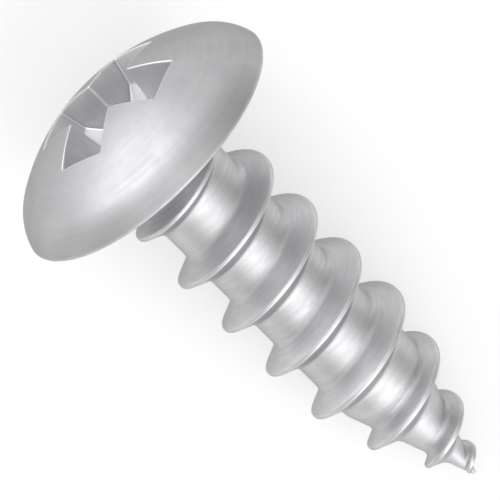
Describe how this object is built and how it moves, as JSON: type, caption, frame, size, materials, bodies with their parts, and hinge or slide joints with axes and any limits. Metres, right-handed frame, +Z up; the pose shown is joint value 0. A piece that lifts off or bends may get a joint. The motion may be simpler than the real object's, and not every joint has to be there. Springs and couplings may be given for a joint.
{
  "type": "truss head self-tapping screw",
  "caption": "Truss head self-tapping screw with a cross recess, a coarse spaced thread and a sharp gimlet point, lying at rest.",
  "frame": {"origin": "centre of the box on the surface that the screw lies on", "axes": "+X from the head to the point, +Z up from the surface; the screw's own axis slopes 13.5 degrees down towards +X"},
  "size_m": [0.018, 0.0098, 0.0095],
  "materials": {
    "steel": "satin"
  },
  "bodies": {
    "root": {"screw": "steel"}
  },
  "joints": []
}
